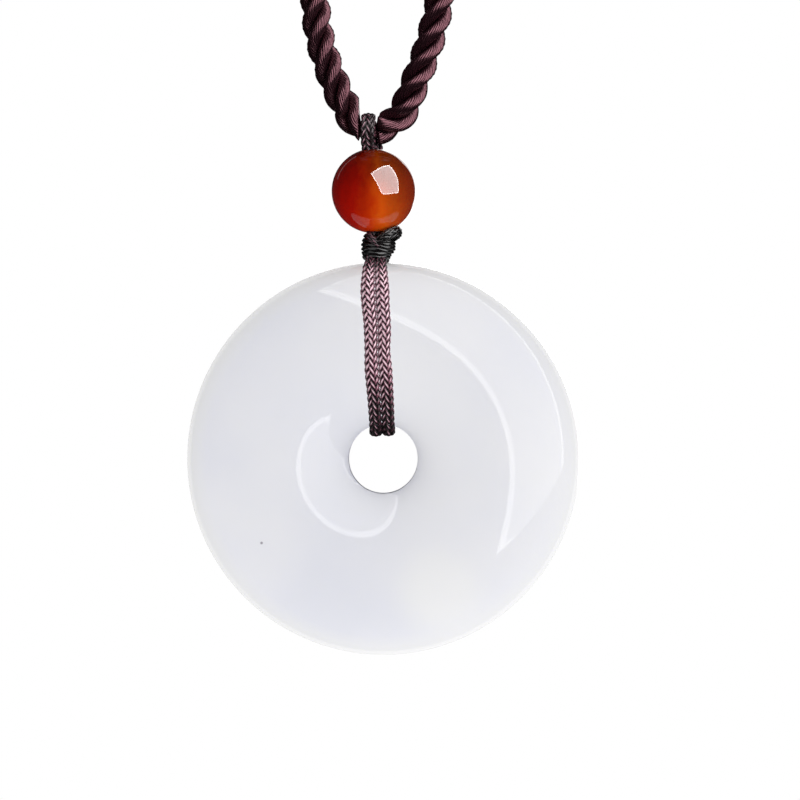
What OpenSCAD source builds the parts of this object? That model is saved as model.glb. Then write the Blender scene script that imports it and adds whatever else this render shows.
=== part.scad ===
// Jade disc pendant on a twisted neck rope, as it hangs when worn.
// Millimetres, +Z up, front towards -Y. The origin is where the rope rests on the nape.

/* [Neck rope] */
// Diameter of the twisted rope over its strands
rope_d = 3.5; // [2.8:0.1:4.4]
// Diameter of the rope where the cord loop squeezes it
waist_d = 2.2; // [2:0.1:2.8]
// Greatest width of the worn loop, between rope centres
loop_w = 124; // [110:1:150]
// Depth of the worn loop, from the nape to the lowest point, between rope centres
loop_depth = 134; // [120:1:160]
// Height of the nape above the lowest point of the rope, between rope centres
loop_drop = 212; // [190:1:260]
// Length of the bound join at the nape
join_l = 14; // [10:1:20]
// Diameter of the bound join
join_d = 4.6; // [4.5:0.1:6]

/* [Braided cord] */
// Width of the braided cord, side to side
cord_w = 1.6; // [1.3:0.05:1.8]
// Thickness of the braided cord, flattened where it is pulled tight
cord_t = 1; // [0.8:0.05:1.1]
// Gap between the cord and the rope or stone that it goes round
cord_gap = 0.15; // [0.1:0.01:0.25]
// Thickness of the cord loop over the rope and in the bead, where it is pulled tightest
loop_t = 0.75; // [0.6:0.05:0.8]
// Shift of the loop's front strand to the left, and of its back strand to the right
loop_shift = 0.25; // [0:0.05:0.3]
// Shift of the whole loop to the left where it lies on the rope
loop_side = 0.15; // [0:0.05:0.3]
// Width of the loop on the rope, where it is pressed flat, as a share of the cord's width
loop_spread = 1.1; // [1:0.02:1.14]

/* [Bead] */
// Diameter of the bead
bead_d = 10; // [8:0.5:14]
// Gap round the two strands in the bead's hole
bore_gap = 0.1; // [0.05:0.01:0.3]
// Width of the bevel round each mouth of the bead's hole
bead_bevel = 0.25; // [0.1:0.05:0.4]
// Gap between the bead and the waist of the rope above it
bead_drop = 1.1; // [0.9:0.05:1.5]

/* [Knot] */
// Width of the knot over its turns
knot_w = 4.2; // [4:0.1:5]
// Height of the knot, from the bead's side to the disc's side
knot_h = 3; // [2.6:0.1:3.5]
// Gap between the knot and the bead above it
knot_drop = 0.1; // [0.05:0.05:0.3]
// Slant of the knot's turns, in degrees
knot_slant = 14; // [0:1:16]
// Gap between the knot's underside and the top of the disc's rim
knot_rise = 0.4; // [0.4:0.05:1.2]

/* [Jade disc] */
// Outer diameter of the disc
disc_d = 46.4; // [40:0.2:60]
// Diameter of the hole through the disc
hole_d = 8; // [7:0.5:12]
// Thickness of the disc at its crest
disc_t = 9.5; // [7:0.5:11]
// Diameter of the ring along which the disc is thickest
crest_d = 25.6; // [24:0.2:28]
// Length of the straight wall inside the hole
hole_wall = 4.5; // [3:0.5:5.5]
// Width of the bevel round each mouth of the disc's hole
hole_bevel = 0.35; // [0.2:0.05:0.6]

/* [Hang] */
// Lean of the hanging pieces to the right as they go down, in degrees
hang_lean = 2; // [-3:0.5:3]

/* [Hidden] */

// Gap between two pieces that meet end to end or side by side
touch = 0.06;
rope_sides = 12;
cord_sides = 10;
round_fn = 96;
// Greatest distance between two rings of the rope
ring_gap = 2.8 * rope_d;
// How far each cord's end runs into the knot that holds it
tuck = 0.8;

// The rope's lowest bend, from the middle outwards, on its left and on its right. The columns are
// the distance outwards and up in rope diameters, and the girth as a share of the full one
bend_middle = [0, 0.043, 0.925];
bend_left = [
    [0.257, 0.071, 0.915],
    [0.466, 0.151, 0.905],
    [0.623, 0.271, 0.92],
    [0.737, 0.457, 0.95],
    [0.814, 0.694, 0.985],
    [1.00, 1.014, 1],
    [1.18, 1.386, 1],
    [1.38, 1.90, 1],
    [1.68, 2.80, 1],
    [1.86, 3.70, 1],
    [1.95, 4.90, 1],
    [2.10, 6.60, 1],
    [2.55, 9.00, 1]
];
bend_right = [
    [0.214, 0.063, 0.98],
    [0.423, 0.114, 1.03],
    [0.694, 0.251, 0.97],
    [0.909, 0.394, 0.95],
    [1.057, 0.580, 0.985],
    [1.163, 0.814, 1.02],
    [1.263, 1.071, 1.02],
    [1.371, 1.386, 1],
    [1.58, 1.90, 1],
    [1.90, 2.80, 1],
    [2.15, 3.70, 1],
    [2.40, 4.90, 1],
    [2.68, 6.60, 1],
    [3.02, 9.00, 1]
];

// The rest of each leg, up to the join. The columns are the distance outwards as a share of
// half of loop_w, back as a share of loop_depth, and up as a share of loop_drop
leg_table = [
    [0.235, 0.002, 0.25],
    [0.36, 0.010, 0.38],
    [0.54, 0.045, 0.56],
    [0.72, 0.130, 0.73],
    [0.89, 0.285, 0.87],
    [1.00, 0.490, 0.955],
    [0.95, 0.700, 0.985],
    [0.72, 0.880, 0.997],
    [0.37, 0.980, 1.000]
];

// The knot's turns, from the top down. The columns are the height in the knot as a share of
// knot_h, the radius and the shift to the right as shares of knot_w, and the slant's direction
knot_turns = [
    [0.74, 0.34, 0.17, -1],
    [0.50, 0.345, 0.02, 1],
    [0.27, 0.30, 0.00, 1]
];
// The knot's core: the radius as a share of knot_w, and the height as a share of knot_h
knot_core = [[0.36, 0], [0.43, 0.45], [0.40, 1]];

// Heights of the hanging pieces, from the centre of the rope's lowest bend
rope_r = rope_d / 2;
waist_r = waist_d / 2;
bend_at = [0, join_d / 2 - loop_depth, -loop_drop];
loop_r = waist_r + cord_gap + loop_t * loop_spread / 2;
bead_z = -waist_r - bead_drop - bead_d / 2;
knot_top = bead_z - bead_d / 2 - knot_drop;
knot_bottom = knot_top - knot_h;
disc_z = knot_bottom - knot_rise - disc_d / 2;

// The bead's hole fits the two strands that lie in it back to back
strand_y = loop_t / 2 + touch;
bore_r = bore_gap + max([
    for (a = [0 : 5 : 90])
        norm([loop_shift + cord_w / 2 * cos(a), strand_y + loop_t / 2 * sin(a)])
]);

// How far the channel that the loop presses into the rope goes to each side
channel_gap = 0.15;
channel_reach = loop_shift + cord_w * loop_spread / 2 + channel_gap;

// Half sizes of the disc's section, outwards and inwards of its crest
crest_r = crest_d / 2;
hole_r = hole_d / 2;
half_t = disc_t / 2;
outer_reach = disc_d / 2 - crest_r;
inner_reach = (crest_r - hole_r) / sqrt(1 - pow(hole_wall / disc_t, 2));

// Vectors and curves
function unit(v) = v / norm(v);
function xyz(p) = [p[0], p[1], p[2]];

// A point of a smooth curve through b and c, where a and d are their outer neighbours
function curve_point(a, b, c, d, t) =
    0.5 * ((2 * b) + (c - a) * t + (2 * a - 5 * b + 4 * c - d) * t * t
        + (3 * b - a - 3 * c + d) * t * t * t);

// The points of a smooth curve through a list of points, no further than gap from each other.
// The first and last points only set the curve's direction at its ends
function smooth_path(points, gap) = [
    for (i = [1 : len(points) - 3])
        let (steps = ceil(norm(xyz(points[i + 1] - points[i])) / gap))
        for (k = [0 : steps - 1])
            curve_point(points[i - 1], points[i], points[i + 1], points[i + 2], k / steps),
    points[len(points) - 2]
];

// The direction of a path at its point i
function direction(path, i) =
    unit(xyz(path[min(i + 1, len(path) - 1)] - path[max(i - 1, 0)]));

// A solid that carries an oval section along a path. Each point of the path is x, y, z and the
// section's scale there. The first half size lies square to across, a direction that the path
// never runs along, and the ends are turned to face start_way and end_way
module swept(path, half_a, half_b, across, sides, start_way, end_way) {
    last = len(path) - 1;
    points = [
        for (i = [0 : last])
            let (
                ahead = i == 0 ? start_way : i == last ? end_way : direction(path, i),
                side = unit(cross(ahead, across)),
                out = cross(side, ahead)
            )
            for (k = [0 : sides - 1])
                let (turn = 360 * (k + 0.5) / sides)
                xyz(path[i]) + path[i][3] * (half_a * cos(turn) * side + half_b * sin(turn) * out)
    ];
    walls = [
        for (i = [0 : last - 1])
            for (k = [0 : sides - 1])
                let (a = i * sides + k, b = i * sides + (k + 1) % sides)
                [a, b, b + sides, a + sides]
    ];
    caps = [
        [for (k = [0 : sides - 1]) sides - 1 - k],
        [for (k = [0 : sides - 1]) last * sides + k]
    ];
    polyhedron(points, [
        for (w = walls) [w[0], w[1], w[2]],
        for (w = walls) [w[0], w[2], w[3]],
        for (c = caps) for (k = [1 : sides - 2]) [c[0], c[k], c[k + 1]]
    ]);
}

// Places what hangs from the rope's lowest bend, where z is 0
module hung() {
    translate(bend_at)
        rotate([0, -hang_lean, 0])
            children();
}

// The rope's points on one side, from the bend to the join: side is -1 for left, 1 for right
function rope_leg(side) = concat(
    [
        for (row = side < 0 ? bend_left : bend_right)
            [side * rope_d * row[0], 0, rope_d * row[1], rope_r * row[2]]
    ],
    [
        for (row = leg_table)
            [side * row[0] * loop_w / 2, row[1] * loop_depth, row[2] * loop_drop, rope_r]
    ],
    [[side * (join_l / 2 + touch), loop_depth, loop_drop, rope_r]]
);

function reversed(list) = [for (i = [len(list) - 1 : -1 : 0]) list[i]];

// The channel that the loop presses into the rope, round the axis that the loop swings on
module loop_channel() {
    rotate([0, 90, 0])
        rotate_extrude($fn = round_fn)
            translate([waist_r, -loop_side - channel_reach])
                square([rope_d, 2 * channel_reach]);
}

// The whole rope, from the join's left end, round the bend, to its right end
module neck_rope() {
    left = rope_leg(-1);
    right = rope_leg(1);
    // Beyond each end a point inside the join makes the rope meet the join squarely
    inside = [0, loop_depth, loop_drop, rope_r];
    middle = [
        rope_d * bend_middle[0], 0, rope_d * bend_middle[1], rope_r * bend_middle[2]
    ];
    points = concat([inside], reversed(left), [middle], right, [inside]);
    // Square to the plane that the loop roughly lies in, so no stretch of rope runs along it
    off_plane = unit([0, -loop_drop, loop_depth]);
    color("#3a1f26")
        translate(bend_at)
            difference() {
                swept(smooth_path(points, ring_gap), 1, 1, off_plane, rope_sides,
                    [-1, 0, 0], [-1, 0, 0]);
                loop_channel();
            }
}

// The binding that joins the rope's two ends at the nape
module rope_join() {
    lip = (join_d - rope_d) / 4;
    color("#2b161b")
        translate([-join_l / 2, join_d / 2, 0])
            rotate([0, 90, 0])
                rotate_extrude($fn = round_fn)
                    polygon([
                        [0, 0], [join_d / 2 - lip, 0], [join_d / 2, lip],
                        [join_d / 2, join_l - lip], [join_d / 2 - lip, join_l], [0, join_l]
                    ]);
}

// The loop over the rope and its two strands, down through the bead into the knot
module bead_cord() {
    bore_top = bead_z + bead_d / 2;
    // The back strand, from the knot up: its height and its distance from the bead's axis
    back = [
        [knot_top - tuck, strand_y],
        [bead_z, strand_y],
        [bore_top - loop_t, strand_y],
        [bore_top - loop_t * 0.45, strand_y * 1.08],
        [bore_top, strand_y * 1.45]
    ];
    up = [for (row = back) [loop_shift, row[1], row[0], 1]];
    over = [
        for (a = [-40 : 20 : 220])
            [loop_shift * cos(a) - loop_side, loop_r * cos(a), loop_r * sin(a), loop_spread]
    ];
    down = [for (p = reversed(up)) [-p[0], -p[1], p[2], 1]];
    color("#6b444d")
        hung()
            swept(concat(up, over, down), loop_t / 2, cord_w / 2, [1, 0, 0], cord_sides,
                [0, 0, 1], [0, 0, -1]);
}

module carnelian_bead() {
    mouth_r = bore_r + bead_bevel;
    mouth_z = sqrt(pow(bead_d / 2, 2) - pow(mouth_r, 2));
    color("#b5330f")
        hung()
            translate([0, 0, bead_z])
                difference() {
                    sphere(d = bead_d, $fn = round_fn);
                    cylinder(r = bore_r, h = 2 * bead_d, center = true, $fn = round_fn);
                    for (end = [0, 1])
                        mirror([0, 0, end])
                            translate([0, 0, mouth_z - bead_bevel])
                                cylinder(r1 = bore_r, r2 = bore_r + 2 * bead_bevel,
                                    h = 2 * bead_bevel, $fn = round_fn);
                }
}

// The knot: a core with slanted turns of cord round it
module hanging_knot() {
    turn_r = knot_w / 2 - max([for (row = knot_turns) row[1]]) * knot_w;
    color("#241418")
        hung()
            translate([0, 0, knot_bottom])
                union() {
                    rotate_extrude($fn = round_fn)
                        polygon(concat(
                            [[0, 0]],
                            [for (row = knot_core) [row[0] * knot_w, row[1] * knot_h]],
                            [[0, knot_h]]
                        ));
                    for (row = knot_turns)
                        translate([row[2] * knot_w, 0, row[0] * knot_h])
                            rotate([0, row[3] * knot_slant, 0])
                                rotate_extrude($fn = round_fn)
                                    translate([row[1] * knot_w, 0])
                                        circle(r = turn_r, $fn = round_fn);
                }
}

// A point on the disc's section, set off outwards by far, as distances from the disc's axis and
// from its middle plane. reach is the section's half length on that side of the crest, and turn
// is 0 at the rim, 90 at the crest and towards 180 at the hole
function off_section(reach, turn, far) =
    let (out = unit([cos(turn) / reach, sin(turn) / half_t]))
    [crest_r + reach * cos(turn) + far * out[0], half_t * sin(turn) + far * out[1]];

// Half of a strand's way round the disc's section, from the knot over the rim, down the face
// and into the hole. Each row is the distance from the disc's axis, the distance from its middle
// plane and the section's scale
function strand_half() =
    let (
        far = cord_gap + cord_t / 2,
        pinch = 0.85,
        start = disc_d / 2 + knot_rise + tuck,
        edge_turn = 180 - asin(hole_wall / disc_t),
        edge = off_section(inner_reach, edge_turn, 0),
        edge_out = off_section(inner_reach, edge_turn, 1) - edge,
        edge_lean = atan2(edge_out[1], -edge_out[0])
    )
    concat(
        [[start, cord_t / 2 + touch, pinch]],
        [
            for (turn = [10, 15, 20, 26, 33, 41, 50, 60, 70, 80, 90])
                concat(off_section(outer_reach, turn, far), min(1, pinch + turn * 0.004))
        ],
        [for (k = [1 : 6]) concat(off_section(inner_reach, 90 + (edge_turn - 90) * k / 6, far), 1)],
        [
            for (k = [1, 2])
                let (lean = edge_lean * (1 - k / 2))
                [hole_r - far * cos(lean), edge[1] + far * sin(lean), 1]
        ],
        [[hole_r - far, 0, 1]]
    );

// One strand round the disc: side is -1 for the left one, 1 for the right one. It lies beside
// the disc's middle line, where the round rim and hole fall away by a little
module disc_strand(side) {
    fit_x = cord_w * 0.75;
    front = [
        for (row = strand_half())
            [side * (cord_w * row[2] + touch) / 2, -row[1], sqrt(pow(row[0], 2) - pow(fit_x, 2)),
                row[2]]
    ];
    back = [for (i = [len(front) - 2 : -1 : 0]) [front[i][0], -front[i][1], front[i][2], front[i][3]]];
    color("#6b444d")
        hung()
            translate([0, 0, disc_z])
                swept(concat(front, back), cord_t / 2, cord_w / 2, [1, 0, 0], cord_sides,
                    [0, 0, -1], [0, 0, 1]);
}

module disc_cord_left() {
    disc_strand(-1);
}

module disc_cord_right() {
    disc_strand(1);
}

// Half of the disc's section on one side of the crest, as a part of an oval
module section_part(reach, from_r, to_r) {
    intersection() {
        translate([crest_r, 0])
            scale([reach, half_t])
                circle(r = 1, $fn = round_fn);
        translate([from_r, -disc_t])
            square([to_r - from_r, 2 * disc_t]);
    }
}

module jade_disc() {
    color("#e8e9f1")
        hung()
            translate([0, 0, disc_z])
                rotate([90, 0, 0])
                    rotate_extrude($fn = round_fn)
                        difference() {
                            union() {
                                section_part(outer_reach, crest_r, disc_d);
                                section_part(inner_reach, hole_r, crest_r);
                            }
                            for (end = [0, 1])
                                mirror([0, end])
                                    translate([hole_r, hole_wall / 2])
                                        rotate(45)
                                            square(hole_bevel * sqrt(2), center = true);
                        }
}

neck_rope();
rope_join();
bead_cord();
carnelian_bead();
hanging_knot();
disc_cord_left();
disc_cord_right();
jade_disc();
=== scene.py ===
import math

import bmesh
import bpy
import numpy as np
from mathutils import Matrix, Vector


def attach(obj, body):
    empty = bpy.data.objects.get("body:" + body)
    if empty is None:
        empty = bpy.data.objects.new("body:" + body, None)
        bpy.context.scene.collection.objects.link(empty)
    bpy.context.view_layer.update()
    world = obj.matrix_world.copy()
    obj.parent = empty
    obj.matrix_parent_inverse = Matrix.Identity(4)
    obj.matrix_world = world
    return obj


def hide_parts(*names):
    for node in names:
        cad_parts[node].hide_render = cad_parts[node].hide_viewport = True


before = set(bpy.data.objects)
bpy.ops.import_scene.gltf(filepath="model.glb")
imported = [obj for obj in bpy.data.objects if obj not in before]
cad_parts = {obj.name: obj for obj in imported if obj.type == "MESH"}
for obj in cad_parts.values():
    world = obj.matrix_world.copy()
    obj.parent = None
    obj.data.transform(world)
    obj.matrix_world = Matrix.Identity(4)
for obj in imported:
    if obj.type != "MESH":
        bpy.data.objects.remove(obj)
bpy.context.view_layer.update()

# Lengths below are millimetres, as in the CAD source, and MM turns them into metres
MM = 0.001

# Sizes that the CAD source gives
ROPE_D = 3.5
WAIST_D = 2.2
LOOP_W = 124
LOOP_DEPTH = 134
LOOP_DROP = 212
JOIN_L = 14
JOIN_D = 4.6
CORD_W = 1.6
CORD_T = 1.0
CORD_GAP = 0.15
LOOP_T = 0.75
LOOP_SHIFT = 0.25
LOOP_SPREAD = 1.1
BEAD_D = 10
BEAD_BEVEL = 0.25
BORE_R = 1.26
BEAD_DROP = 1.1
KNOT_DROP = 0.1
KNOT_H = 3
KNOT_RISE = 0.4
DISC_D = 46.4
HOLE_D = 8
DISC_T = 9.5
CREST_D = 25.6
HOLE_WALL = 4.5
HOLE_BEVEL = 0.35
TOUCH = 0.06
TUCK = 0.8
HANG_LEAN = math.radians(2)

# How far the loop over the rope lies to the left, which is 0.2 mm more than its solid, and its
# slant, which begins LEAN_FROM degrees round the rope from its back and from its front, and is
# whole LEAN_OVER degrees further down
LOOP_SIDE = 0.35
LOOP_SLANT = 0.16
LEAN_FROM = 60
LEAN_OVER = 95
# The channel that the loop presses into the rope: the room at each side of the loop, the width of
# the channel's wall, its flare at the right behind, and how soon it closes where no swing comes
CHANNEL_SPARE = 0.09
CHANNEL_WALL = 0.12
CHANNEL_FLARE = 0.7
CHANNEL_CLOSE = 0.36
# In the channel the rope is squeezed to this share of its waist, this fast
SQUEEZE_TO = 0.98
SQUEEZE_RATE = 1.3
# Beside the channel the rope swells by these shares, over this length
SWELL_LEFT = 0.3
SWELL_RIGHT = 0.12
SWELL_REACH = 0.8

# Heights of the hanging pieces, from the centre of the rope's lowest bend
WAIST_R = WAIST_D / 2
LOOP_R = WAIST_R + CORD_GAP + LOOP_T * LOOP_SPREAD / 2
BEAD_Z = -WAIST_R - BEAD_DROP - BEAD_D / 2
KNOT_TOP = BEAD_Z - BEAD_D / 2 - KNOT_DROP
DISC_Z = KNOT_TOP - KNOT_H - KNOT_RISE - DISC_D / 2

# The rope's lowest bend, in its middle and to each side of it: distance out and up in rope
# diameters, and the girth as a share of the full one
BEND_MIDDLE = (0, 0.043, 0.925)
BEND_LEFT = (
    (0.257, 0.071, 0.915), (0.466, 0.151, 0.905), (0.623, 0.271, 0.92), (0.737, 0.457, 0.95),
    (0.814, 0.694, 0.985), (1.00, 1.014, 1), (1.18, 1.386, 1), (1.38, 1.90, 1),
    (1.68, 2.80, 1), (1.86, 3.70, 1), (1.95, 4.90, 1), (2.10, 6.60, 1),
    (2.55, 9.00, 1),
)
BEND_RIGHT = (
    (0.214, 0.063, 0.98), (0.423, 0.114, 1.03), (0.694, 0.251, 0.97), (0.909, 0.394, 0.95),
    (1.057, 0.580, 0.985), (1.163, 0.814, 1.02), (1.263, 1.071, 1.02), (1.371, 1.386, 1),
    (1.58, 1.90, 1), (1.90, 2.80, 1), (2.15, 3.70, 1), (2.40, 4.90, 1),
    (2.68, 6.60, 1), (3.02, 9.00, 1),
)
# The rest of each leg: distance out, back and up as shares of half of LOOP_W, of LOOP_DEPTH and
# of LOOP_DROP
LEG_TABLE = (
    (0.235, 0.002, 0.25), (0.36, 0.010, 0.38), (0.54, 0.045, 0.56), (0.72, 0.130, 0.73),
    (0.89, 0.285, 0.87), (1.00, 0.490, 0.955), (0.95, 0.700, 0.985), (0.72, 0.880, 0.997),
    (0.37, 0.980, 1.000),
)
BEND_AT = np.array([0, JOIN_D / 2 - LOOP_DEPTH, -LOOP_DROP])


# Places and directions

def unit(vectors):
    return vectors / np.linalg.norm(vectors, axis=-1, keepdims=True)


def hung(points):
    """Moves points from the hanging pieces' own frame, which leans, to the object's frame."""
    s, c = math.sin(HANG_LEAN), math.cos(HANG_LEAN)
    turn = np.array([[c, 0, -s], [0, 1, 0], [s, 0, c]])
    return np.asarray(points, float) @ turn.T + BEND_AT


def metres(point):
    return Vector([float(v) * MM for v in point])


DISC_AT = hung([0, 0, DISC_Z])
HANG_ACROSS = hung([1, 0, 0]) - hung([0, 0, 0])
HANG_UP = hung([0, 0, 1]) - hung([0, 0, 0])


# Camera, lights and floor

# The camera's lens and sensor, and its place from the disc's middle
LENS = 190.2
SENSOR = 36
CAMERA_FROM_DISC = (1.976, -500, 6.944)

# Lights and the floor are in metres. The key light stands in front at the upper right: the way to it
# from the disc, the way of its width, and its distance
KEY = (0.557, -0.626, 0.547), (0.675, 0.724, 0.141), 0.57
# How much brighter the border of a soft box is
BORDER_GLOW = 1.6
# The room's soft light, which is stronger from below and from the right, and what reflections
# show of it
ROOM_GLOW = 0.91
ROOM_WAYS = (0.12, 0, -0.18)
ROOM_SHINE = 0.03

FLOOR_R = 1.0
FLOOR_Z = -0.40


def photo_camera():
    """Looks straight at the front, from half a metre in front of the disc's middle plane."""
    data = bpy.data.cameras.new("camera")
    data.sensor_width = SENSOR
    data.lens = LENS
    data.clip_start = 0.01
    camera = bpy.data.objects.new("camera", data)
    bpy.context.scene.collection.objects.link(camera)
    camera.location = metres(DISC_AT + CAMERA_FROM_DISC)
    camera.rotation_euler = (math.pi / 2, 0, 0)
    bpy.context.scene.camera = camera


def soft_box(name, ahead, across, distance, size, glow, shines, shift=(0, 0)):
    """A flat light that faces the disc. ahead points to it, across lies along its width, and shift
    moves it along its width and height. It shines for gloss, for colour or for both."""
    away = Vector(ahead).normalized()
    side = Vector(across)
    side = (side - away * side.dot(away)).normalized()
    high = away.cross(side)
    data = bpy.data.lights.new(name, "AREA")
    data.shape = "RECTANGLE"
    data.size, data.size_y = size
    data.energy = glow * math.pi * size[0] * size[1]
    light = bpy.data.objects.new(name, data)
    bpy.context.scene.collection.objects.link(light)
    place = metres(DISC_AT) + away * distance + side * shift[0] + high * shift[1]
    turn = Matrix((side, high, away)).transposed()
    light.matrix_world = Matrix.Translation(place) @ turn.to_4x4()
    light.visible_camera = False
    light.visible_glossy = shines != "colour"
    light.visible_diffuse = shines != "gloss"
    return light


def bright_border(light, border, slant=0.0):
    """Makes a light brighter along its border, as a soft box is where its cloth meets its frame.
    slant, the rise over its width, says how a table's edge hides its lower end."""
    data = light.data
    data.use_nodes = True
    tree = data.node_tree
    tree.nodes.clear()
    spot = add(tree, "ShaderNodeNewGeometry")
    parts = add(tree, "ShaderNodeSeparateXYZ", {0: spot.outputs["Parametric"]})
    out = []
    for way, length in (("X", data.size), ("Y", data.size_y)):
        middle = add(tree, "ShaderNodeMath", {0: parts.outputs[way], 1: 0.5},
                     operation="SUBTRACT")
        far = add(tree, "ShaderNodeMath", {0: middle.outputs[0]}, operation="ABSOLUTE")
        out.append(add(tree, "ShaderNodeMath", {0: far.outputs[0], 1: 0.5 - border / length},
                       operation="GREATER_THAN"))
    edge = add(tree, "ShaderNodeMath", {0: out[0].outputs[0], 1: out[1].outputs[0]},
               operation="MAXIMUM")
    power = add(tree, "ShaderNodeMath", {0: edge.outputs[0], 1: BORDER_GLOW, 2: 1.0},
                operation="MULTIPLY_ADD")
    table = add(tree, "ShaderNodeMath",
                {0: parts.outputs["X"], 1: slant * data.size / data.size_y}, operation="MULTIPLY")
    above = add(tree, "ShaderNodeMath", {0: parts.outputs["Y"], 1: table.outputs[0]},
                operation="GREATER_THAN")
    shown = add(tree, "ShaderNodeMath", {0: power.outputs[0], 1: above.outputs[0]},
                operation="MULTIPLY")
    shine = add(tree, "ShaderNodeEmission", {"Strength": shown.outputs[0]})
    add(tree, "ShaderNodeOutputLight", {"Surface": shine.outputs[0]})


def shines_on(light, names, state="INCLUDE"):
    """Lets a light shine on the named pieces alone, or on all but them, and gives them."""
    lit = bpy.data.collections.new(light.name + "_on")
    for name in names:
        lit.objects.link(bpy.data.objects[name])
    for entry in lit.collection_objects:
        entry.light_linking.link_state = state
    light.light_linking.receiver_collection = lit
    return lit


def key_lights():
    """The key light for the cords and the rope, and its images on the two stones."""
    cords = soft_box("key_light", *KEY, (0.711, 0.862), 4.3, "both", (-0.012, -0.055))
    shines_on(cords, ["disc", "bead", "floor"], "EXCLUDE")
    bead = soft_box("bead_key_light", *KEY, (0.66, 0.82), 11.0, "gloss", (-0.03, -0.07))
    bright_border(bead, 0.025)
    shines_on(bead, ["bead"])
    disc = soft_box("disc_key_light", *KEY, (0.70, 1.48), 1.05, "gloss", (-0.09, 0.06))
    bright_border(disc, 0.05, 0.31)
    shines_on(disc, ["disc"])


def other_lights():
    # On the cords alone, because the photo's stones show no second light
    left = soft_box("cord_light", (-0.6, -0.7, 0.4), (0.7, -0.6, 0), 0.6, (0.6, 0.9), 1.1, "gloss")
    shines_on(left, ["disc_cord_left_braid", "disc_cord_right_braid", "bead_cord_braid",
                     "knot_turns", "knot_bight", "knot_strand"])
    soft_box("edge_light", (-0.55, 0.62, 0.55), (0.69, 0, 0.72), 0.6, (0.38, 0.025), 0.8, "gloss")
    soft_box("back_light", (0.25, 0.93, 0.27), (1, 0, 0), 0.6, (0.3, 0.4), 2.5, "gloss")
    # The white paper behind shines on the disc's rim
    paper = soft_box("rim_light", (0, 1, 0), (1, 0, 0), 0.6, (3, 3), 0.85, "gloss")
    shines_on(paper, ["disc"])
    # Light goes through the bead, most of it from below
    front = soft_box("bead_fill", (0, -1, 0.1), (1, 0, 0), 0.6, (2, 2), 0.35, "colour")
    below = soft_box("bead_low_light", (0.1, -0.5, -0.8), (1, 0, 0), 0.4, (0.4, 0.4), 0.9, "colour")
    for light in (front, below):
        light.light_linking.blocker_collection = shines_on(light, ["bead"])


def room_light():
    """White behind the object, pale for soft light and dark in reflections."""
    world = bpy.data.worlds.new("studio")
    bpy.context.scene.world = world
    world.use_nodes = True
    world.cycles.sampling_method = "NONE"
    tree = world.node_tree
    tree.nodes.clear()
    seen = add(tree, "ShaderNodeLightPath")
    dark = add(tree, "ShaderNodeBackground", {"Color": srgb("#ffffff"), "Strength": ROOM_SHINE})
    ways = add(tree, "ShaderNodeTexCoord")
    more = add(tree, "ShaderNodeVectorMath", {0: ways.outputs["Generated"], 1: ROOM_WAYS},
               operation="DOT_PRODUCT")
    glow = add(tree, "ShaderNodeMath", {0: more.outputs["Value"], 1: ROOM_GLOW}, operation="ADD")
    room = add(tree, "ShaderNodeBackground",
               {"Color": srgb("#ffffff"), "Strength": glow.outputs[0]})
    white = add(tree, "ShaderNodeBackground", {"Color": srgb("#ffffff"), "Strength": 1.0})
    lit = add(tree, "ShaderNodeMixShader",
              {0: seen.outputs["Is Diffuse Ray"], 1: dark.outputs[0], 2: room.outputs[0]})
    both = add(tree, "ShaderNodeMixShader",
               {0: seen.outputs["Is Camera Ray"], 1: lit.outputs[0], 2: white.outputs[0]})
    add(tree, "ShaderNodeOutputWorld", {"Surface": both.outputs[0]})


def studio():
    bpy.context.scene.view_settings.view_transform = "Standard"
    bpy.context.scene.view_settings.look = "None"
    key_lights()
    other_lights()
    room_light()


def floor():
    bpy.ops.mesh.primitive_circle_add(vertices=96, radius=FLOOR_R, fill_type="NGON",
                                      location=(0, BEND_AT[1] * MM, FLOOR_Z))
    plate = bpy.context.object
    plate.name = "floor"
    plate.data.materials.append(floor_paint())
    # The room's light also comes from below, as from a table's white edge
    plate.visible_glossy = False
    plate.visible_diffuse = False


# Materials

def srgb(text):
    """Linear colour from an sRGB hex value such as #8a0a00."""
    shares = [int(text[i:i + 2], 16) / 255 for i in (1, 3, 5)]
    return [v / 12.92 if v <= 0.04045 else ((v + 0.055) / 1.055) ** 2.4 for v in shares] + [1.0]


def add(tree, kind, inputs=None, stops=None, **settings):
    """Adds a node. inputs holds values or links by socket, stops the colours of a colour ramp, and
    settings the node's own properties."""
    node = tree.nodes.new(kind)
    for name, value in settings.items():
        setattr(node, name, value)
    for name, value in (inputs or {}).items():
        if isinstance(value, bpy.types.NodeSocket):
            tree.links.new(value, node.inputs[name])
        else:
            node.inputs[name].default_value = value
    if stops:
        points = node.color_ramp.elements
        while len(points) < len(stops):
            points.new(0.5)
        for point, (place, colour) in zip(points, stops):
            point.position = place
            point.color = srgb(colour)
    return node


def surface(name, **values):
    """A new material with one shader. values are the shader's constant sockets, with _ for a space."""
    made = bpy.data.materials.new(name)
    made.use_nodes = True
    tree = made.node_tree
    tree.nodes.clear()
    shader = add(tree, "ShaderNodeBsdfPrincipled",
                 {key.replace("_", " "): value for key, value in values.items()})
    add(tree, "ShaderNodeOutputMaterial", {"Surface": shader.outputs[0]})
    return made, tree, shader


def feed(tree, shader, **links):
    for name, socket in links.items():
        tree.links.new(socket, shader.inputs[name.replace("_", " ")])


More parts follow.
